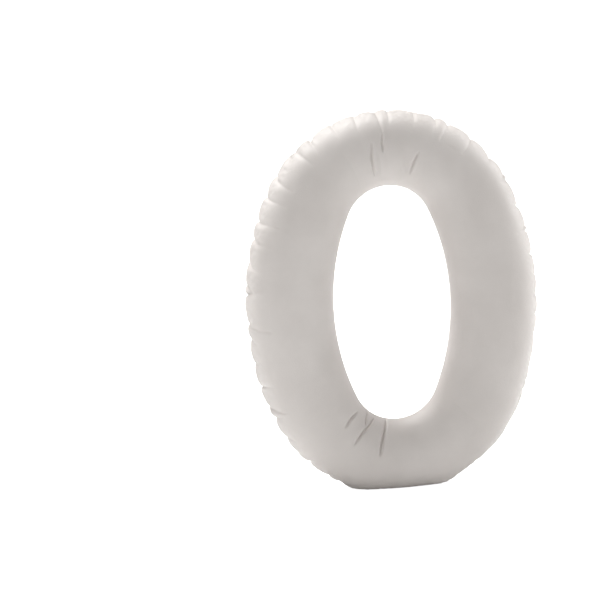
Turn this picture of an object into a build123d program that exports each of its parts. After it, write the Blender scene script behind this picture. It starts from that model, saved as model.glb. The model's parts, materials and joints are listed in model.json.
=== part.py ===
from build123d import *

import os
from math import asin, atan2, copysign, cos, radians, sin, sqrt

# Oval ear pad for over-ear headphones: a leather cushion gathered onto a clip-in mounting ring.
# Millimetres.  The pad stands on its lower end: X runs across it, Z up along its long axis, the
# cushion faces -Y and the clips face +Y.  Everything is drawn on the seat plane, where the ring's
# rim meets the ear cup, and levels are measured from there towards the cushion.

# ---- driving dimensions ----------------------------------------------------------------------
pad_width = 79.0  # over the widest line of the cushion
pad_length = 105.0  # the same along the pad, before the lower end is pressed flat
outer_flatness = 3.5  # how far the round ends' radius falls short of half the width
opening_width = 33.0  # at the narrowest line of the opening
opening_length = 66.0
inner_flatness = 4.5
cushion_height = 14.5  # ring face to crest
crest_width = 4.0  # flat along the crest, where the cushion is slimmest
widest_share = 0.46  # level of the widest line, as a share of the cushion's height
foot_flat = 1.3  # how much of the lower end is pressed flat

outer_bulge = 2.8  # cushion past the ring's rim
inner_bulge = 2.6  # cushion past the ring's lip, into the opening
tuck = 0.3  # how far the cover's hems start inside the ring's edges

ring_height = 3.0
ring_face = 1.2  # thickness of the face that carries the cushion
rim_wall = 1.4
lip_wall = 1.2
rim_round = 0.8

frame_gap = 0.15  # clip frame to the ring's walls
frame_sink = 0.3  # the frame's back, in from the seat plane

hook_width = 6.5
hook_height = 2.5  # behind the seat plane
hook_stem = 1.2
hook_nose = 1.0
hook_nose_depth = 0.9
hook_lead = 0.4  # sloped lead-in on the nose
hook_inset = 3.4  # rim to the stem's outer side
hook_spacing = 36.0  # middle hook to the hooks near the ends, along the pad

latch_spacing = 17.0  # middle of the side to a latch, along the pad
latch_inset = 4.0  # rim to the arm's centre line
latch_width = 2.6
latch_height = 4.0
latch_arm = 1.0
latch_tip = 1.7  # width
latch_barb = 0.6
latch_catch = 1.6  # seat plane to the barb's catch
latch_nose = 0.5  # thickness of the tip
latch_gap = 0.15  # round the root, in its window

stake_radius = 1.0
stake_head_radius = 1.7
stake_head_height = 0.4
stake_gap = 0.1
stake_spacing = 26.0

seal_width = 4.0
seal_thickness = 0.8
seal_outset = 2.0  # ring's lip to the seal

tape_thickness = 0.2
tape_margin = 0.8
cover_skin = 0.8
hem_width = 4.0
board_thickness = 0.8
skin_gap = 0.15
thread_radius = 0.3
thread_gap = 0.1

# ---- levels, from the seat plane towards the crest -------------------------------------------
recess_level = ring_height - ring_face
frame_back = frame_sink
frame_thickness = recess_level - frame_back
hem_level = ring_height + tape_thickness
board_level = hem_level + cover_skin + skin_gap
foam_level = board_level + board_thickness + skin_gap
widest_level = ring_height + widest_share * cushion_height
crest_level = ring_height + cushion_height
root_level = (recess_level + frame_back) / 2

# ---- outlines --------------------------------------------------------------------------------
rim_half_width = pad_width / 2 - outer_bulge
rim_half_length = pad_length / 2 - outer_bulge
rim_end_radius = rim_half_width - outer_flatness
lip_half_width = opening_width / 2 + inner_bulge
lip_half_length = opening_length / 2 + inner_bulge
lip_end_radius = lip_half_width - inner_flatness
slim_limb = min(pad_width - opening_width, pad_length - opening_length) / 2
shoulder = (slim_limb - crest_width) / 2
seal_reach = seal_outset + seal_width
stake_inset = (rim_wall + frame_gap + slim_limb - outer_bulge - inner_bulge - seal_reach) / 2
latch_root = frame_thickness / 2 - latch_gap

seat_y = (crest_level - latch_height) / 2
centre_z = pad_length / 2 - foot_flat
seat = Plane(origin=(0, seat_y, centre_z), x_dir=(1, 0, 0), z_dir=(0, -1, 0))


def side_radius(half_width, half_length, end_radius):
    """Radius of the two long arcs that run smoothly into the end arcs."""
    reach = half_length - end_radius
    return (half_width**2 - end_radius**2 + reach**2) / (2 * (half_width - end_radius))


class Oval(BaseSketchObject):
    """Closed outline of four tangent arcs: two long side arcs and two round ends."""

    def __init__(self, half_width, half_length, end_radius, mode=Mode.ADD):
        side = side_radius(half_width, half_length, end_radius)
        reach = half_length - end_radius
        shift = side - half_width
        turn = atan2(reach, shift)
        corner = (side * cos(turn) - shift, side * sin(turn))
        with BuildSketch(Plane.XY) as outline:
            with BuildLine():
                ThreePointArc((corner[0], -corner[1]), (half_width, 0), corner)
                ThreePointArc(corner, (0, half_length), (-corner[0], corner[1]))
                ThreePointArc((-corner[0], corner[1]), (-half_width, 0), (-corner[0], -corner[1]))
                ThreePointArc((-corner[0], -corner[1]), (0, -half_length), (corner[0], -corner[1]))
            make_face()
        super().__init__(obj=outline.sketch, rotation=0, align=None, mode=mode)


def rim_oval(inset, mode=Mode.ADD):
    """The ring's outer edge, moved inwards by the inset."""
    return Oval(rim_half_width - inset, rim_half_length - inset, rim_end_radius - inset, mode)


def lip_oval(outset, mode=Mode.ADD):
    """The ring's inner edge, moved away from the opening by the outset."""
    return Oval(lip_half_width + outset, lip_half_length + outset, lip_end_radius + outset, mode)


def rim_point(along, side, inset):
    """Point inside the rim at a distance along the pad, and the rim's outward direction there."""
    radius = side_radius(rim_half_width, rim_half_length, rim_end_radius)
    shift = radius - rim_half_width
    reach = rim_half_length - rim_end_radius
    tilt = asin(along / (radius - inset))
    across = (radius - inset) * cos(tilt) - shift
    if abs(tilt) > atan2(reach, shift):
        tilt = asin((abs(along) - reach) / (rim_end_radius - inset))
        across = (rim_end_radius - inset) * cos(tilt)
        tilt = copysign(tilt, along)
    return (side * across, along), (side * cos(tilt), sin(tilt))


def rim_plane(along, side, inset):
    """Plane across the rim: X points outwards, Y to the ear cup, Z along the rim."""
    (across, up), (out_x, out_z) = rim_point(along, side, inset)
    origin = (across, seat_y, up + centre_z)
    return Plane(origin=origin, x_dir=(out_x, 0, out_z), z_dir=(-out_z, 0, out_x))


sides = {"left": -1, "right": 1}
ends = {"lower": -1, "upper": 1}
hook_planes = [
    rim_plane(along, side, hook_inset)
    for side in sides.values()
    for along in (-hook_spacing, 0, hook_spacing)
]
latch_planes = {
    f"{end}_{side}_latch": rim_plane(ends[end] * latch_spacing, sides[side], latch_inset)
    for end in ends
    for side in sides
}
stake_points = [(0, end * (rim_half_length - stake_inset)) for end in ends.values()] + [
    rim_point(end * stake_spacing, side, stake_inset)[0]
    for end in ends.values()
    for side in sides.values()
]

os.makedirs("parts", exist_ok=True)


# ---- base ring -------------------------------------------------------------------------------
# A face that carries the cushion, a wall at each edge, and the stakes that hold the clip frame.
with BuildPart() as base_ring:
    with BuildSketch(seat):
        rim_oval(0)
    extrude(amount=ring_height)
    fillet(base_ring.faces().sort_by(Axis.Y)[-1].edges(), rim_round)
    with BuildSketch(seat):
        lip_oval(0)
    extrude(amount=ring_height, mode=Mode.SUBTRACT)
    with BuildSketch(seat):
        rim_oval(rim_wall)
        lip_oval(lip_wall, mode=Mode.SUBTRACT)
    extrude(amount=recess_level, mode=Mode.SUBTRACT)
    with BuildSketch(seat.offset(frame_back)):
        with Locations(*stake_points):
            Circle(stake_radius)
    extrude(amount=frame_thickness)
    with BuildSketch(seat.offset(frame_back)):
        with Locations(*stake_points):
            Circle(stake_head_radius)
    extrude(amount=-stake_head_height)
base_ring.part.label = "base_ring"
export_step(base_ring.part, "parts/base_ring.step")


# ---- clip frame ------------------------------------------------------------------------------
# Lies in the ring's recess.  Its six fixed hooks reach behind the seat plane, and its four
# windows hold the roots of the latches.
with BuildPart() as clip_frame:
    with BuildSketch(seat.offset(frame_back)):
        rim_oval(rim_wall + frame_gap)
        lip_oval(lip_wall + frame_gap, mode=Mode.SUBTRACT)
        with Locations(*stake_points):
            Circle(stake_radius + stake_gap, mode=Mode.SUBTRACT)
    extrude(amount=frame_thickness)
    with BuildSketch(*latch_planes.values()):
        with Locations((0, -root_level)):
            Rectangle(2 * (latch_root + latch_gap), frame_thickness)
    extrude(amount=latch_width / 2 + latch_gap, both=True, mode=Mode.SUBTRACT)
    with BuildSketch(*hook_planes):
        with BuildLine():
            Polyline(
                (-hook_stem, -frame_back),
                (0, -frame_back),
                (0, hook_height - hook_nose_depth),
                (hook_nose, hook_height - hook_nose_depth),
                (hook_nose, hook_height - hook_lead),
                (hook_nose - hook_lead, hook_height),
                (-hook_stem, hook_height),
                close=True,
            )
        make_face()
    extrude(amount=hook_width / 2, both=True)
clip_frame.part.label = "clip_frame"
export_step(clip_frame.part, "parts/clip_frame.step")


# ---- latches ---------------------------------------------------------------------------------
# Each arm bends inwards about its root, and its barb catches behind the ear cup's wall.
for latch_name, across_rim in latch_planes.items():
    facing_rim = Plane(
        origin=across_rim.origin, x_dir=across_rim.z_dir, z_dir=-across_rim.x_dir
    )
    with BuildPart() as latch:
        with BuildSketch(across_rim):
            with Locations((0, -root_level)):
                Circle(latch_root)
            with BuildLine():
                Polyline(
                    (-latch_arm / 2, -root_level),
                    (latch_arm / 2, -root_level),
                    (latch_arm / 2, latch_catch),
                    (latch_arm / 2 + latch_barb, latch_catch),
                    (latch_nose - latch_arm / 2, latch_height),
                    (-latch_arm / 2, latch_height),
                    close=True,
                )
            make_face()
        extrude(amount=latch_width / 2, both=True)
        with BuildSketch(facing_rim):
            with BuildLine():
                Polyline(
                    (-latch_width / 2, -recess_level),
                    (latch_width / 2, -recess_level),
                    (latch_width / 2, latch_catch),
                    (latch_tip / 2, latch_height),
                    (-latch_tip / 2, latch_height),
                    (-latch_width / 2, latch_catch),
                    close=True,
                )
            make_face()
        extrude(amount=latch_arm + latch_barb, both=True, mode=Mode.INTERSECT)
    latch.part.label = latch_name
    export_step(latch.part, f"parts/{latch_name}.step")


# ---- seal ring -------------------------------------------------------------------------------
# Foam strip on the back of the clip frame, pressed against the ear cup round the opening.
with BuildPart() as seal_ring:
    with BuildSketch(seat.offset(frame_back)):
        lip_oval(seal_reach)
        lip_oval(seal_outset, mode=Mode.SUBTRACT)
    extrude(amount=-seal_thickness)
seal_ring.part.label = "seal_ring"
export_step(seal_ring.part, "parts/seal_ring.step")


# ---- cushion tape ----------------------------------------------------------------------------
with BuildPart() as cushion_tape:
    with BuildSketch(seat.offset(ring_height)):
        rim_oval(tape_margin)
        lip_oval(tape_margin, mode=Mode.SUBTRACT)
    extrude(amount=tape_thickness)
cushion_tape.part.label = "cushion_tape"
export_step(cushion_tape.part, "parts/cushion_tape.step")


# ---- cushion ---------------------------------------------------------------------------------
def wall_inset(level, bulge, shrink):
    """How far a cushion wall lies inside its ring edge at a level, for a form shrunk all round.

    Below the widest line the wall is a parabola that starts from the tuck at the ring's face.
    Above it the wall is a quarter of an ellipse that ends, level, at the crest.
    """
    if level < widest_level:
        dip = (widest_level - level) / (widest_level - ring_height)
        return (bulge + tuck) * dip**2 - bulge + shrink
    rise = (level - widest_level) / (crest_level - widest_level - shrink)
    return shoulder - bulge - (shoulder - shrink) * sqrt(max(0, 1 - rise**2))


def wall_levels(start, shrink):
    """Levels of the outlines that a wall is lofted through, closer together near the crest."""
    lower = [start + share * (widest_level - start) for share in (0, 0.5)]
    upper = [
        widest_level + sin(radians(turn)) * (crest_level - shrink - widest_level)
        for turn in (0, 22.5, 45, 67.5, 90)
    ]
    return lower + upper


def cushion_form(shrink, start):
    """The whole cushion as a solid ring, shrunk all round, with its base at the start level."""
    with BuildPart() as form:
        for level in wall_levels(start, shrink):
            with BuildSketch(seat.offset(level)):
                rim_oval(wall_inset(level, outer_bulge, shrink))
        loft()
        for level in wall_levels(start, shrink):
            with BuildSketch(seat.offset(level)):
                lip_oval(wall_inset(level, inner_bulge, shrink))
        loft(mode=Mode.SUBTRACT)
        split(bisect_by=Plane.XY.offset(shrink), keep=Keep.TOP)
    return form.part


hem_inset = wall_inset(hem_level, outer_bulge, 0)
hem_outset = wall_inset(hem_level, inner_bulge, 0)
fill_shrink = cover_skin + skin_gap

# One-piece sleeve, with a flat hem under each edge of the board.
with BuildPart() as cover:
    add(cushion_form(0, hem_level))
    add(cushion_form(cover_skin, hem_level + cover_skin), mode=Mode.SUBTRACT)
    with BuildSketch(seat.offset(hem_level)):
        rim_oval(hem_inset + hem_width)
        lip_oval(hem_outset + hem_width, mode=Mode.SUBTRACT)
    extrude(amount=cover_skin, mode=Mode.SUBTRACT)
cover.part.label = "cover"
export_step(cover.part, "parts/cover.step")

with BuildPart() as cushion_board:
    with BuildSketch(seat.offset(board_level)):
        rim_oval(wall_inset(board_level, outer_bulge, fill_shrink))
        lip_oval(wall_inset(board_level, inner_bulge, fill_shrink), mode=Mode.SUBTRACT)
    extrude(amount=board_thickness)
cushion_board.part.label = "cushion_board"
export_step(cushion_board.part, "parts/cushion_board.step")

with BuildPart() as foam_core:
    add(cushion_form(fill_shrink, foam_level))
foam_core.part.label = "foam_core"
export_step(foam_core.part, "parts/foam_core.step")


# ---- gathering threads -----------------------------------------------------------------------
# Each hem is drawn in by a thread along its free edge.
thread_level = hem_level + cover_skin / 2
thread_inset = hem_width + thread_gap + thread_radius
with BuildSketch(seat.offset(thread_level)) as outer_run:
    rim_oval(hem_inset + thread_inset)
with BuildSketch(seat.offset(thread_level)) as inner_run:
    lip_oval(hem_outset + thread_inset)

for thread_name, run in {"outer_thread": outer_run, "inner_thread": inner_run}.items():
    loop = run.sketch.face().outer_wire()
    with BuildPart() as thread:
        with BuildSketch(Plane(origin=loop @ 0, z_dir=loop % 0)):
            Circle(thread_radius)
        sweep(path=loop)
    thread.part.label = thread_name
    export_step(thread.part, f"parts/{thread_name}.step")
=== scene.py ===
import json
import math
import bpy
import numpy as np
from mathutils import Matrix, Vector


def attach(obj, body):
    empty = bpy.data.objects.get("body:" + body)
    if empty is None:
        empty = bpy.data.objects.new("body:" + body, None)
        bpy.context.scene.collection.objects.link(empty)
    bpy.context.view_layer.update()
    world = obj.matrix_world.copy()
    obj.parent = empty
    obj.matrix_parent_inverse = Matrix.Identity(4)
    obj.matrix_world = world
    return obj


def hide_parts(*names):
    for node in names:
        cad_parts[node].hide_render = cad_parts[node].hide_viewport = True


# Oval headphone ear pad: a leather cover gathered in pleats round a foam ring, on a clip-in ring.
# The pad stands on its lower end: X across, Z up, the cushion faces -Y and the clips face +Y.

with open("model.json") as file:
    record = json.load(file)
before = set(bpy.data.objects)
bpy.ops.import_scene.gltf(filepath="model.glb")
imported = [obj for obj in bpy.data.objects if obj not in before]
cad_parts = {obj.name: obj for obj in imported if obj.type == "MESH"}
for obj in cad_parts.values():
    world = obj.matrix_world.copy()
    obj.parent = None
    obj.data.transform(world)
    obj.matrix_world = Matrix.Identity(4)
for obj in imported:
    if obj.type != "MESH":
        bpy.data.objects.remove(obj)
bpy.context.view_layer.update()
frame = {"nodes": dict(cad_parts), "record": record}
mm = 0.001


def mountPlace(name):
    return [m["pos_m"] for m in frame["record"]["mounts"] if m["name"] == name][0]


seatY = mountPlace("cup_seat")[1]       # back of the ring, where it meets the ear cup
centreZ = mountPlace("cup_seat")[2]     # middle of the pad's length

# An oval is four tangent arcs: half width, half length, radius of the round ends.
ovals = {
    "outer": (39.75 * mm, 52.4 * mm, 36.4 * mm),
    "opening": (16.3 * mm, 32.6 * mm, 12.0 * mm),
}


def ovalPoint(turn, halfWidth, halfLength, endRadius):
    # the point whose outward normal has the angle turn from +X: the centre of the arc that
    # holds that angle, plus the arc's radius along the normal
    reach = halfLength - endRadius
    side = (halfWidth**2 - endRadius**2 + reach**2) / (2 * (halfWidth - endRadius))
    shift = side - halfWidth
    corner = math.atan2(reach, shift)
    folded = np.abs((turn + np.pi / 2) % np.pi - np.pi / 2)
    onSide = folded < corner
    normal = np.stack([np.cos(turn), np.sin(turn)], -1)
    radius = np.where(onSide, side, endRadius)
    centreX = np.where(onSide, -shift * np.sign(normal[..., 0]), 0)
    centreY = np.where(onSide, 0, reach * np.sign(normal[..., 1]))
    return np.stack([centreX, centreY], -1) + radius[..., None] * normal


def evenTurns(count, oval):
    # normal angles of points evenly spaced along the oval, and the oval's length
    fine = np.linspace(0, 2 * np.pi, 7201)
    steps = np.linalg.norm(np.diff(ovalPoint(fine, *oval), axis=0), axis=1)
    travelled = np.concatenate([[0], np.cumsum(steps)])
    return np.interp(np.arange(count) / count * travelled[-1], travelled, fine), travelled[-1]


# the cushion's surface
cushion = {
    "around": 960,              # grid steps round the pad
    "outerRows": 32,            # rows up the outer wall, from the ring to the widest line
    "topRows": 76,
    "innerRows": 22,
    "baseRows": 10,             # hidden rows under the board
    "widest": 9.67 * mm,        # levels above the seat plane
    "crest": 17.5 * mm,
    "hem": 3.23 * mm,
    "roundness": 2.2,           # of the section above the widest line
    "outerTuck": 3.0 * mm,      # how far the wall curls in to the ring's edge
    "outerCurl": 4.2 * mm,
    "innerTuck": 2.8 * mm,
    "innerCurl": 4.0 * mm,
}


def sectionRows(shape):
    # one section as rows: signed half-width share, inset from that side, level above the seat
    outerStop = math.acos(1 - shape["outerTuck"] / shape["outerCurl"])
    innerStop = math.acos(1 - shape["innerTuck"] / shape["innerCurl"])
    drop = shape["widest"] - shape["hem"]
    rise = shape["crest"] - shape["widest"]
    beta = np.linspace(outerStop, 0, shape["outerRows"], endpoint=False)
    alpha = np.linspace(0, np.pi, shape["topRows"], endpoint=False)
    gamma = np.linspace(0, innerStop, shape["innerRows"])
    across = np.linspace(-1, 1, shape["baseRows"] + 2)[1:-1]
    power = 2 / shape["roundness"]
    half = np.concatenate([
        np.ones_like(beta),
        np.sign(np.cos(alpha)) * np.abs(np.cos(alpha)) ** power,
        -np.ones_like(gamma),
        across,
    ])
    inset = np.concatenate([
        shape["outerCurl"] * (1 - np.cos(beta)),
        np.zeros_like(alpha),
        -shape["innerCurl"] * (1 - np.cos(gamma)),
        np.interp(across, [-1, 1], [-shape["innerTuck"], shape["outerTuck"]]),
    ])
    level = np.concatenate([
        shape["widest"] - drop * np.sin(beta) / math.sin(outerStop),
        shape["widest"] + rise * np.sin(alpha) ** power,
        shape["widest"] - drop * np.sin(gamma) / math.sin(innerStop),
        np.full_like(across, shape["hem"]),
    ])
    return half, inset, level


def ringSurface(shape):
    # sections stood on the line from the opening to the outer outline, all the way round
    turns, length = evenTurns(shape["around"], ovals["outer"])
    outer = ovalPoint(turns, *ovals["outer"])
    opening = ovalPoint(turns, *ovals["opening"])
    span = outer - opening
    width = np.linalg.norm(span, axis=1)
    outwards = span / width[:, None]
    middle = (outer + opening) / 2
    half, inset, level = sectionRows(shape)
    q = half[None, :] * (width[:, None] / 2) - inset[None, :]
    flat = middle[:, None, :] + q[..., None] * outwards[:, None, :]
    y = seatY - level
    points = np.stack([flat[..., 0], np.broadcast_to(y, q.shape), centreZ + flat[..., 1]], -1)
    return points, length, level


def gridNormals(points):
    # cross product of the two grid directions, both of which close on themselves
    along = np.roll(points, -1, 0) - np.roll(points, 1, 0)
    across = np.roll(points, -1, 1) - np.roll(points, 1, 1)
    normal = np.cross(along, across)
    return normal / np.maximum(np.linalg.norm(normal, axis=-1, keepdims=True), 1e-12)


def closedMesh(name, points):
    # quads between neighbouring grid points, closed both ways
    around, across = points.shape[:2]
    index = np.arange(around * across).reshape(around, across)
    quads = np.stack([index, np.roll(index, -1, 0), np.roll(np.roll(index, -1, 0), -1, 1),
                      np.roll(index, -1, 1)], -1).reshape(-1, 4)
    mesh = bpy.data.meshes.new(name)
    mesh.from_pydata(points.reshape(-1, 3), [], quads)
    mesh.polygons.foreach_set("use_smooth", np.ones(len(quads), dtype=bool))
    piece = bpy.data.objects.new(name, mesh)
    bpy.context.collection.objects.link(piece)
    return piece


# pleats where the outer wall is drawn in to the ring
pleats = {
    "pitches": (3.7 * mm, 8.5 * mm),    # from one valley to the next
    "usualPitch": 5.6 * mm,             # sets how many valleys there are
    "lift": (0.7, 1.25),                # height of one valley against the others
    "lean": (0.3, 0.8),                 # mean and spread of a valley's lean, as shares of the slant
    "seed": 11,
    "fineSeed": 23,
    "height": 1.25 * mm,                # of the puffs between valleys
    "reach": (9.5 * mm, 13.5 * mm),     # how far up the wall a valley runs
    "favour": 0.34,                     # the valleys run further up one shoulder of the pad
    "favoured": 2.0,                    # how far round from +X that shoulder is, in radians
    "slant": 0.2,                       # sideways run of a valley for each unit up the wall
    "edge": 0.45,                       # power of the puff: lower is a sharper valley
    "fineCount": 150,
    "fineDepth": (0.08 * mm, 0.30 * mm),
    "fineReach": (3 * mm, 8 * mm),
}


def creases(place, rise, length, seed):
    # short extra lines low on the wall: each falls off exponentially, faster on one side
    rng = np.random.default_rng(seed)
    field = np.zeros_like(place)
    for start in rng.uniform(0, length, pleats["fineCount"]):
        line = start + pleats["slant"] * rng.normal() * rise
        away = (place - line + length / 2) % length - length / 2
        spread = np.where(away * rng.choice((-1, 1)) < 0, 0.25 * mm, 0.7 * mm)
        fade = np.clip(1 - rise / rng.uniform(*pleats["fineReach"]), 0, 1)
        field += rng.uniform(*pleats["fineDepth"]) * fade * np.exp(-np.abs(away) / spread)
    return field


def puffs(place, rise, length, seed):
    # between neighbouring valleys the wall stands out as a power of half a sine wave
    rng = np.random.default_rng(seed)
    starts = np.cumsum(rng.uniform(*pleats["pitches"], int(length / pleats["usualPitch"])))
    starts = starts / starts[-1] * length
    count = len(starts)
    lean = pleats["slant"] * rng.normal(*pleats["lean"], count)
    favour = 1 + pleats["favour"] * np.cos(starts / length * 2 * np.pi - pleats["favoured"])
    reach = rng.uniform(*pleats["reach"], count) * favour
    lift = rng.uniform(*pleats["lift"], count)
    field = np.zeros_like(place)
    for k in range(count):
        other = (k + 1) % count
        low = starts[k] + lean[k] * rise
        high = starts[other] + (length if other == 0 else 0) + lean[other] * rise
        share = np.clip(((place - low) % length) / np.maximum(high - low, 0.5 * mm), 0, 1)
        # each valley has one height and one reach, so neighbouring puffs meet without a step
        fades = [lift[n] * np.clip(1 - (rise / reach[n]) ** 2, 0, 1) for n in (k, other)]
        fade = fades[0] * (1 - share) + fades[1] * share
        bulge = np.sin(np.pi * share**0.85) ** pleats["edge"]
        field = np.where(share < 1, pleats["height"] * fade * (bulge - 0.75), field)
    return field


def pleatCover(points, length, level):
    # moves the outer wall, and the front's edge above it, along their normals: puffs less creases
    rows = slice(0, cushion["outerRows"] + cushion["topRows"] // 3)
    around = len(points)
    place = np.broadcast_to((np.arange(around) / around * length)[:, None],
                            (around, rows.stop))
    rise = np.broadcast_to((level[rows] - cushion["hem"])[None, :], place.shape)
    out = (puffs(place, rise, length, pleats["seed"])
           - creases(place, rise, length, pleats["fineSeed"]))
    moved = points.copy()
    moved[:, rows] += gridNormals(points)[:, rows] * out[..., None]
    return moved


# folds pressed into the front, where the cover is drawn round the opening's ends
folds = [
    # both ends as across and up from the pad's middle, depth, half width: all in millimetres
    ((-4.7, 45.6), (-4.0, 36.1), 0.85, 0.26),
    ((-1.5, 47.6), (-1.7, 42.9), 0.75, 0.24),
    ((8.0, 42.1), (5.4, 35.9), 0.80, 0.28),
    ((-11.9, -28.5), (-15.7, -32.2), 0.90, 0.24),
    ((-8.6, -29.1), (-9.8, -32.6), 0.80, 0.22),
    ((-7.0, -31.1), (-13.7, -37.3), 1.00, 0.26),
    ((-3.4, -32.0), (-6.6, -40.9), 1.30, 0.30),
]
waves = {
    "count": 26,                # soft radial swells round each end of the opening
    "depth": 0.16 * mm,
    "width": 2.2 * mm,
    "length": (6 * mm, 15 * mm),
    "start": (15.5 * mm, 32 * mm),      # oval by the opening's edge: they begin 1 to 3 mm outside it
    "turnSpread": 0.5,          # of their directions about straight up or down, in radians
    "seed": 31,
}


def pressLine(points, start, end, depth, spread):
    # depth at each grid point: an exponential of the distance from the line to the power 1.3,
    # tapered to nothing at the line's ends
    x = points[..., 0]
    z = points[..., 2] - centreZ
    run = np.subtract(end, start)
    reach = np.hypot(*run)
    share = ((x - start[0]) * run[0] + (z - start[1]) * run[1]) / reach**2
    bend = 0.05 * reach * np.sin(np.pi * np.clip(share, 0, 1))
    away = ((x - start[0]) * run[1] - (z - start[1]) * run[0]) / reach - bend
    taper = np.sqrt(np.clip(np.sin(np.pi * np.clip(share, 0, 1)), 0, 1))
    return depth * taper * np.exp(-(np.abs(away) / spread) ** 1.3)


def foldFront(points, level):
    # sinks the placed folds and the random swells into the front, along its normals
    front = np.broadcast_to((level > cushion["widest"])[None, :], points.shape[:2])
    sunk = np.zeros(points.shape[:2])
    for start, end, depth, spread in folds:
        sunk += pressLine(points, np.multiply(start, mm), np.multiply(end, mm), depth * mm,
                          spread * mm)
    rng = np.random.default_rng(waves["seed"])
    for _ in range(waves["count"]):
        side = rng.choice((-1, 1))
        angle = side * (math.pi / 2 + rng.normal(0, waves["turnSpread"]))
        heading = np.array([math.cos(angle), math.sin(angle)])
        start = np.array(waves["start"]) * heading + heading * rng.uniform(1, 3) * mm
        end = start + heading * rng.uniform(*waves["length"])
        sunk += pressLine(points, start, end, waves["depth"] * rng.uniform(0.3, 1),
                          waves["width"] * rng.uniform(0.3, 1))
    return points - gridNormals(points) * (sunk * front)[..., None]


# cloth: the pleated wall swells between its held hem and the smooth front
cloth = {
    "skipAround": 3,            # the simulated grid takes every third and every second point
    "skipAcross": 2,
    "scale": 10,
    "frames": 20,
    "pressure": 4,
    "spare": 0.045,             # extra cloth
    "holdWall": 0.12,           # pull back to the form on the pleated wall
    "holdFront": 0.95,          # and on the smooth front and the opening's wall
    "furthest": 1.0 * mm,       # no point moves further than this
}


def spreadOut(values, count, axis):
    # straight-line steps between coarse rows of a grid that closes on itself
    size = values.shape[axis]
    place = np.arange(count) * size / count
    low = np.floor(place).astype(int)
    share = (place - low).reshape([-1 if k == axis else 1 for k in range(3)])
    return (np.take(values, low % size, axis) * (1 - share)
            + np.take(values, (low + 1) % size, axis) * share)


def swellCloth(points):
    # simulates a coarse copy of the cover, and adds its movement to the fine one
    coarse = points[::cloth["skipAround"], ::cloth["skipAcross"]]
    piece = closedMesh("cloth_form", coarse * cloth["scale"])
    across = coarse.shape[1]
    wallEnd = cushion["outerRows"] // cloth["skipAcross"]
    frontStart = wallEnd + cushion["topRows"] // 4 // cloth["skipAcross"]
    held = np.interp(np.arange(across), [wallEnd, frontStart],
                     [cloth["holdWall"], cloth["holdFront"]])
    held[:2] = 1
    held[-(cushion["baseRows"] // cloth["skipAcross"] + 2):] = 1
    group = piece.vertex_groups.new(name="held")
    for column, weight in enumerate(held):
        rows = [int(v) for v in np.arange(coarse.shape[0]) * across + column]
        group.add(rows, float(weight), "REPLACE")
    modifier = piece.modifiers.new("cloth", "CLOTH")
    settings = modifier.settings
    settings.quality = 6
    settings.mass = 0.3
    settings.tension_stiffness = 18
    settings.compression_stiffness = 12
    settings.shear_stiffness = 5
    settings.bending_stiffness = 0.8
    settings.use_pressure = True
    settings.uniform_pressure_force = cloth["pressure"]
    settings.shrink_min = -cloth["spare"]
    settings.vertex_group_mass = "held"
    settings.effector_weights.gravity = 0
    modifier.collision_settings.use_collision = False
    scene = bpy.context.scene
    for number in range(1, cloth["frames"] + 1):
        scene.frame_set(number)
    solved = piece.evaluated_get(bpy.context.evaluated_depsgraph_get()).to_mesh()
    flat = np.empty(len(solved.vertices) * 3)
    solved.vertices.foreach_get("co", flat)
    moved = flat.reshape(coarse.shape) / cloth["scale"] - coarse
    bpy.data.objects.remove(piece, do_unlink=True)
    scene.frame_set(1)
    distance = np.linalg.norm(moved, axis=-1, keepdims=True)
    wall = distance[:, :wallEnd]
    print("cloth moved the wall, mm: mean %.2f most %.2f; front: mean %.2f most %.2f" % (
        wall.mean() / mm, wall.max() / mm, distance[:, frontStart:].mean() / mm,
        distance[:, frontStart:].max() / mm))
    moved = moved * np.minimum(1, cloth["furthest"] / np.maximum(distance, 1e-9))
    # the front keeps its smooth form: the cloth's part in the shape fades out up the wall
    moved *= np.interp(np.arange(across), [wallEnd, frontStart], [1, 0])[None, :, None]
    moved = spreadOut(moved, points.shape[0], 0)
    moved = spreadOut(moved, points.shape[1], 1)
    return points + moved


foot = {
    "knee": 0.5 * mm,           # height below which the cover levels out on the table
    "sag": 1.0 * mm,            # most, beside the flat
    "sagPlace": 12 * mm,        # from the middle, to both sides
    "sagWidth": 4.5 * mm,
    "sagHeight": 7 * mm,        # it fades out up to here
}


def settleFoot(points):
    # the lower end sags a little to both sides of the flat, and is pressed flat on the table:
    # heights below a soft knee level out at zero
    knee = foot["knee"]
    z = points[..., 2]
    beside = (np.abs(points[..., 0]) - foot["sagPlace"]) / foot["sagWidth"]
    low = np.clip(1 - z / foot["sagHeight"], 0, 1)
    z = z - foot["sag"] * np.exp(-beside**2) * low
    points[..., 2] = np.where(z < knee, knee * np.exp(np.minimum(z / knee - 1, 0)), z)
    return points


print("cover: sections, pleats and pressed foot")
points, length, level = ringSurface(cushion)
points = pleatCover(points, length, level)
print("cover: cloth")
points = swellCloth(points)
points = foldFront(points, level)
points = settleFoot(points)
cover = closedMesh("leather_cover", points)


def newMaterial(name):
    material = bpy.data.materials.new(name)
    material.use_nodes = True
    nodes = material.node_tree.nodes
    links = material.node_tree.links
    shader = nodes["Principled BSDF"]
    coords = nodes.new("ShaderNodeTexCoord")
    return material, nodes, links, shader, coords.outputs["Object"]


def noise(nodes, links, place, scale, detail=3.0, roughness=0.5):
    node = nodes.new("ShaderNodeTexNoise")
    node.inputs["Scale"].default_value = scale
    node.inputs["Detail"].default_value = detail
    node.inputs["Roughness"].default_value = roughness
    links.new(place, node.inputs["Vector"])
    return node.outputs["Fac"]


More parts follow.
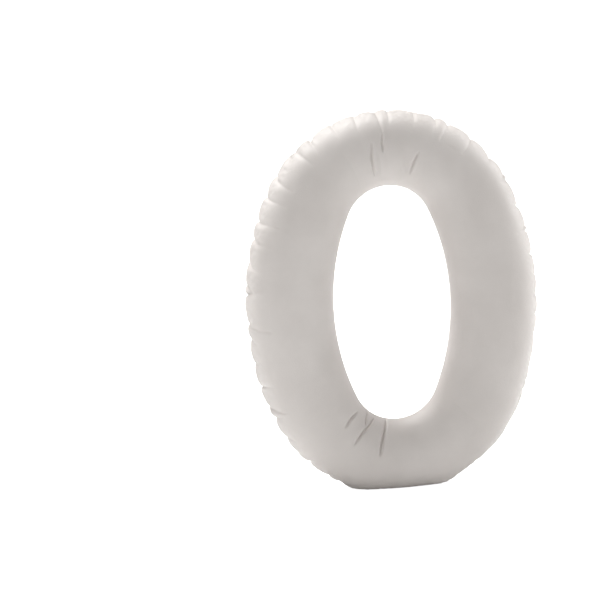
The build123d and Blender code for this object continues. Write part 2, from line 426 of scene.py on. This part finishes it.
def ramp(nodes, links, value, low, high, lowColour, highColour):
    node = nodes.new("ShaderNodeValToRGB")
    node.color_ramp.elements[0].position = low
    node.color_ramp.elements[0].color = (*lowColour, 1)
    node.color_ramp.elements[1].position = high
    node.color_ramp.elements[1].color = (*highColour, 1)
    links.new(value, node.inputs["Fac"])
    return node.outputs["Color"]


def bump(nodes, links, height, strength, distance, previous=None):
    node = nodes.new("ShaderNodeBump")
    node.inputs["Strength"].default_value = strength
    node.inputs["Distance"].default_value = distance
    links.new(height, node.inputs["Height"])
    if previous is not None:
        links.new(previous, node.inputs["Normal"])
    return node.outputs["Normal"]


leather = {
    "light": (0.80, 0.755, 0.72),
    "dark": (0.73, 0.685, 0.65),
    "grainScale": 2100,
    "roughness": (0.46, 0.60),
}


def leatherMaterial():
    material, nodes, links, shader, place = newMaterial("pale_leather")
    tone = noise(nodes, links, place, 60, 4)
    links.new(ramp(nodes, links, tone, 0.3, 0.7, leather["dark"], leather["light"]),
              shader.inputs["Base Color"])
    gloss = noise(nodes, links, place, 400, 3)
    low, high = leather["roughness"]
    links.new(ramp(nodes, links, gloss, 0.3, 0.7, (low,) * 3, (high,) * 3),
              shader.inputs["Roughness"])
    cells = nodes.new("ShaderNodeTexVoronoi")
    cells.feature = "DISTANCE_TO_EDGE"
    cells.inputs["Scale"].default_value = leather["grainScale"]
    links.new(place, cells.inputs["Vector"])
    grain = bump(nodes, links, cells.outputs["Distance"], 0.25, 0.00012)
    wrinkle = noise(nodes, links, place, 900, 5, 0.6)
    links.new(bump(nodes, links, wrinkle, 0.2, 0.00015, grain), shader.inputs["Normal"])
    shader.inputs["Sheen Weight"].default_value = 0.08
    shader.inputs["Coat Weight"].default_value = 0.04
    shader.inputs["Coat Roughness"].default_value = 0.35
    return material


def plasticMaterial(name, light, dark, low, high):
    material, nodes, links, shader, place = newMaterial(name)
    links.new(ramp(nodes, links, noise(nodes, links, place, 120, 3), 0.35, 0.65, dark, light),
              shader.inputs["Base Color"])
    links.new(ramp(nodes, links, noise(nodes, links, place, 900, 3), 0.3, 0.7, (low,) * 3,
                   (high,) * 3), shader.inputs["Roughness"])
    links.new(bump(nodes, links, noise(nodes, links, place, 3500, 2), 0.12, 0.0001),
              shader.inputs["Normal"])
    return material


def foamMaterial(name, light, dark):
    material, nodes, links, shader, place = newMaterial(name)
    cells = nodes.new("ShaderNodeTexVoronoi")
    cells.inputs["Scale"].default_value = 2600
    links.new(place, cells.inputs["Vector"])
    links.new(ramp(nodes, links, cells.outputs["Distance"], 0.1, 0.7, dark, light),
              shader.inputs["Base Color"])
    links.new(bump(nodes, links, cells.outputs["Distance"], 0.6, 0.0002), shader.inputs["Normal"])
    shader.inputs["Roughness"].default_value = 0.95
    return material


def dress(node, material):
    mesh = frame["nodes"][node].data
    mesh.materials.clear()
    mesh.materials.append(material)


print("materials")
cover.data.materials.append(leatherMaterial())
ringPlastic = plasticMaterial("ring_plastic", (0.70, 0.67, 0.74), (0.66, 0.63, 0.70), 0.34, 0.44)
clipPlastic = plasticMaterial("clip_plastic", (0.022, 0.022, 0.024), (0.014, 0.014, 0.016), 0.3, 0.45)
sealFoam = foamMaterial("seal_foam", (0.05, 0.05, 0.052), (0.012, 0.012, 0.013))
fillFoam = foamMaterial("fill_foam", (0.78, 0.74, 0.60), (0.55, 0.50, 0.38))
boardFibre = plasticMaterial("board_fibre", (0.62, 0.60, 0.56), (0.50, 0.48, 0.44), 0.7, 0.85)
tapeFilm = plasticMaterial("tape_film", (0.80, 0.78, 0.70), (0.72, 0.70, 0.62), 0.3, 0.5)
threadFibre = plasticMaterial("thread_fibre", (0.80, 0.78, 0.75), (0.60, 0.58, 0.55), 0.6, 0.8)
dress("base_ring", ringPlastic)
dress("clip_frame", clipPlastic)
for nodeName in frame["nodes"]:
    if nodeName.endswith("_latch"):
        dress(nodeName, clipPlastic)
dress("seal_ring", sealFoam)
dress("foam_core", fillFoam)
dress("cushion_board", boardFibre)
dress("cushion_tape", tapeFilm)
dress("outer_thread", threadFibre)
dress("inner_thread", threadFibre)

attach(cover, "pad")
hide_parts("cover", "foam_core")


print("stage, light and camera")
studio = {
    "floorSize": 6,
    "floorGlow": 0.9,           # seen by the camera only
    "around": 0.32,             # background light on the pad
    "behind": 1.1,              # background as the camera sees it
}
bpy.ops.mesh.primitive_plane_add(size=studio["floorSize"])
floor = bpy.context.object
floor.name = "table"
floorMaterial, nodes, links, shader, place = newMaterial("table_white")
shader.inputs["Base Color"].default_value = (0.93, 0.93, 0.93, 1)
shader.inputs["Roughness"].default_value = 0.9
seen = nodes.new("ShaderNodeLightPath")
glow = nodes.new("ShaderNodeMath")
glow.operation = "MULTIPLY"
glow.inputs[1].default_value = studio["floorGlow"]
links.new(seen.outputs["Is Camera Ray"], glow.inputs[0])
links.new(glow.outputs["Value"], shader.inputs["Emission Strength"])
shader.inputs["Emission Color"].default_value = (1, 1, 1, 1)
floor.data.materials.append(floorMaterial)

lights = {
    # name: place, size, watts
    "overhead": ((-0.3, 0.30, 0.9), 0.7, 8.8),
    "left": ((-0.8, 0.22, 0.6), 0.5, 1.2),
    "right": ((0.8, 0.20, 0.35), 0.5, 4.3),
    "front": ((-0.2, -1.0, 0.6), 0.6, 0.55),
}
target = Vector((0, 0, centreZ))
for name, (spot, size, watts) in lights.items():
    lamp = bpy.data.lights.new(name, "AREA")
    lamp.shape = "SQUARE"
    lamp.size = size
    lamp.energy = watts
    holder = bpy.data.objects.new(name, lamp)
    holder.location = spot
    holder.rotation_euler = (target - Vector(spot)).to_track_quat("-Z", "Y").to_euler()
    bpy.context.collection.objects.link(holder)

world = bpy.data.worlds.new("studio")
world.use_nodes = True
tree = world.node_tree
back = tree.nodes["Background"]
back.inputs["Color"].default_value = (1, 1, 1, 1)
path = tree.nodes.new("ShaderNodeLightPath")
dimmer = tree.nodes.new("ShaderNodeMapRange")
dimmer.inputs["To Min"].default_value = studio["around"]
dimmer.inputs["To Max"].default_value = studio["behind"]
tree.links.new(path.outputs["Is Camera Ray"], dimmer.inputs["Value"])
tree.links.new(dimmer.outputs["Result"], back.inputs["Strength"])
bpy.context.scene.world = world
bpy.context.scene.view_settings.view_transform = "Standard"

view = {
    "from": (-0.154, -0.9727, 0.1735),     # direction from the pad to the camera
    "up": (0.0747, 0.1637, 0.9837),
    "distance": 0.899,
    "lens": 196.7,
    "aside": 0.0253,                        # the pad stands this far right of the view's centre
    "above": -0.0008,
}


def viewAxes(eye, aim):
    # right, up and backwards directions of a camera at eye that looks at aim
    backwards = (eye - aim).normalized()
    right = Vector(view["up"]).cross(backwards).normalized()
    return right, backwards.cross(right), backwards


camera = bpy.data.objects.new("camera", bpy.data.cameras.new("camera"))
camera.data.lens = view["lens"]
camera.data.sensor_width = 36
middle = Vector((0, seatY - cushion["widest"], centreZ))
eye = middle + Vector(view["from"]).normalized() * view["distance"]
right, up, backwards = viewAxes(eye, middle)
aim = middle - right * view["aside"] - up * view["above"]
right, up, backwards = viewAxes(eye, aim)
camera.matrix_world = Matrix((
    (right.x, up.x, backwards.x, eye.x),
    (right.y, up.y, backwards.y, eye.y),
    (right.z, up.z, backwards.z, eye.z),
    (0, 0, 0, 1),
))
bpy.context.collection.objects.link(camera)
bpy.context.scene.camera = camera
